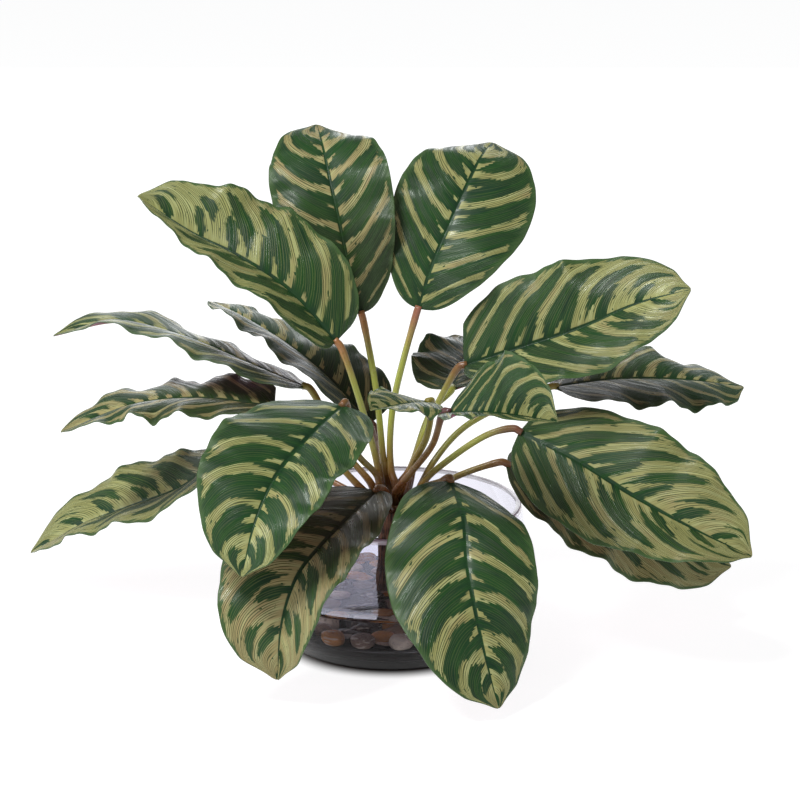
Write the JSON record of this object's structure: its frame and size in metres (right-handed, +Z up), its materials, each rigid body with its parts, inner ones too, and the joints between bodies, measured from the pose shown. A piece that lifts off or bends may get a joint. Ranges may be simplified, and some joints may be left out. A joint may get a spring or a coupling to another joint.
{
  "type": "potted peacock plant",
  "caption": "Peacock plant with broad patterned oval leaves on arching stalks, rooted in water and pebbles in a low round clear glass bowl.",
  "frame": {"origin": "middle of the bowl's flat foot, on the surface that the bowl stands on", "axes": "+Z up, -Y towards the side that most leaves face, +X to the right seen from there"},
  "size_m": [0.5355, 0.3295, 0.3511],
  "materials": {
    "glass": "clear polished",
    "water": "clear and still",
    "pebbles": "smooth wet river stone in browns, tans and off-white",
    "crown": "fibrous brown sheaths and roots",
    "blade": "satin leaf, dark green ovals on pale yellow-green above, purple below",
    "stalk": "smooth stem, yellow-green to red-brown"
  },
  "bodies": {
    "root": {"blade_back_left": "blade", "blade_back_right": "blade", "blade_front_left": "blade", "blade_front_right": "blade", "blade_left_front": "blade", "blade_left_low": "blade", "blade_left_middle": "blade", "blade_left_upper": "blade", "blade_middle_left": "blade", "blade_middle_right": "blade", "blade_right_back": "blade", "blade_right_front": "blade", "blade_right_low": "blade", "blade_top_left": "blade", "blade_top_right": "blade", "blade_upper_left": "blade", "blade_upper_right": "blade", "bowl": "glass", "crown": "crown", "pebble_bed": "pebbles", "stalk_back_left": "stalk", "stalk_back_right": "stalk", "stalk_front_left": "stalk", "stalk_front_right": "stalk", "stalk_left_front": "stalk", "stalk_left_low": "stalk", "stalk_left_middle": "stalk", "stalk_left_upper": "stalk", "stalk_middle_left": "stalk", "stalk_middle_right": "stalk", "stalk_right_back": "stalk", "stalk_right_front": "stalk", "stalk_right_low": "stalk", "stalk_top_left": "stalk", "stalk_top_right": "stalk", "stalk_upper_left": "stalk", "stalk_upper_right": "stalk", "water": "water"}
  },
  "joints": []
}
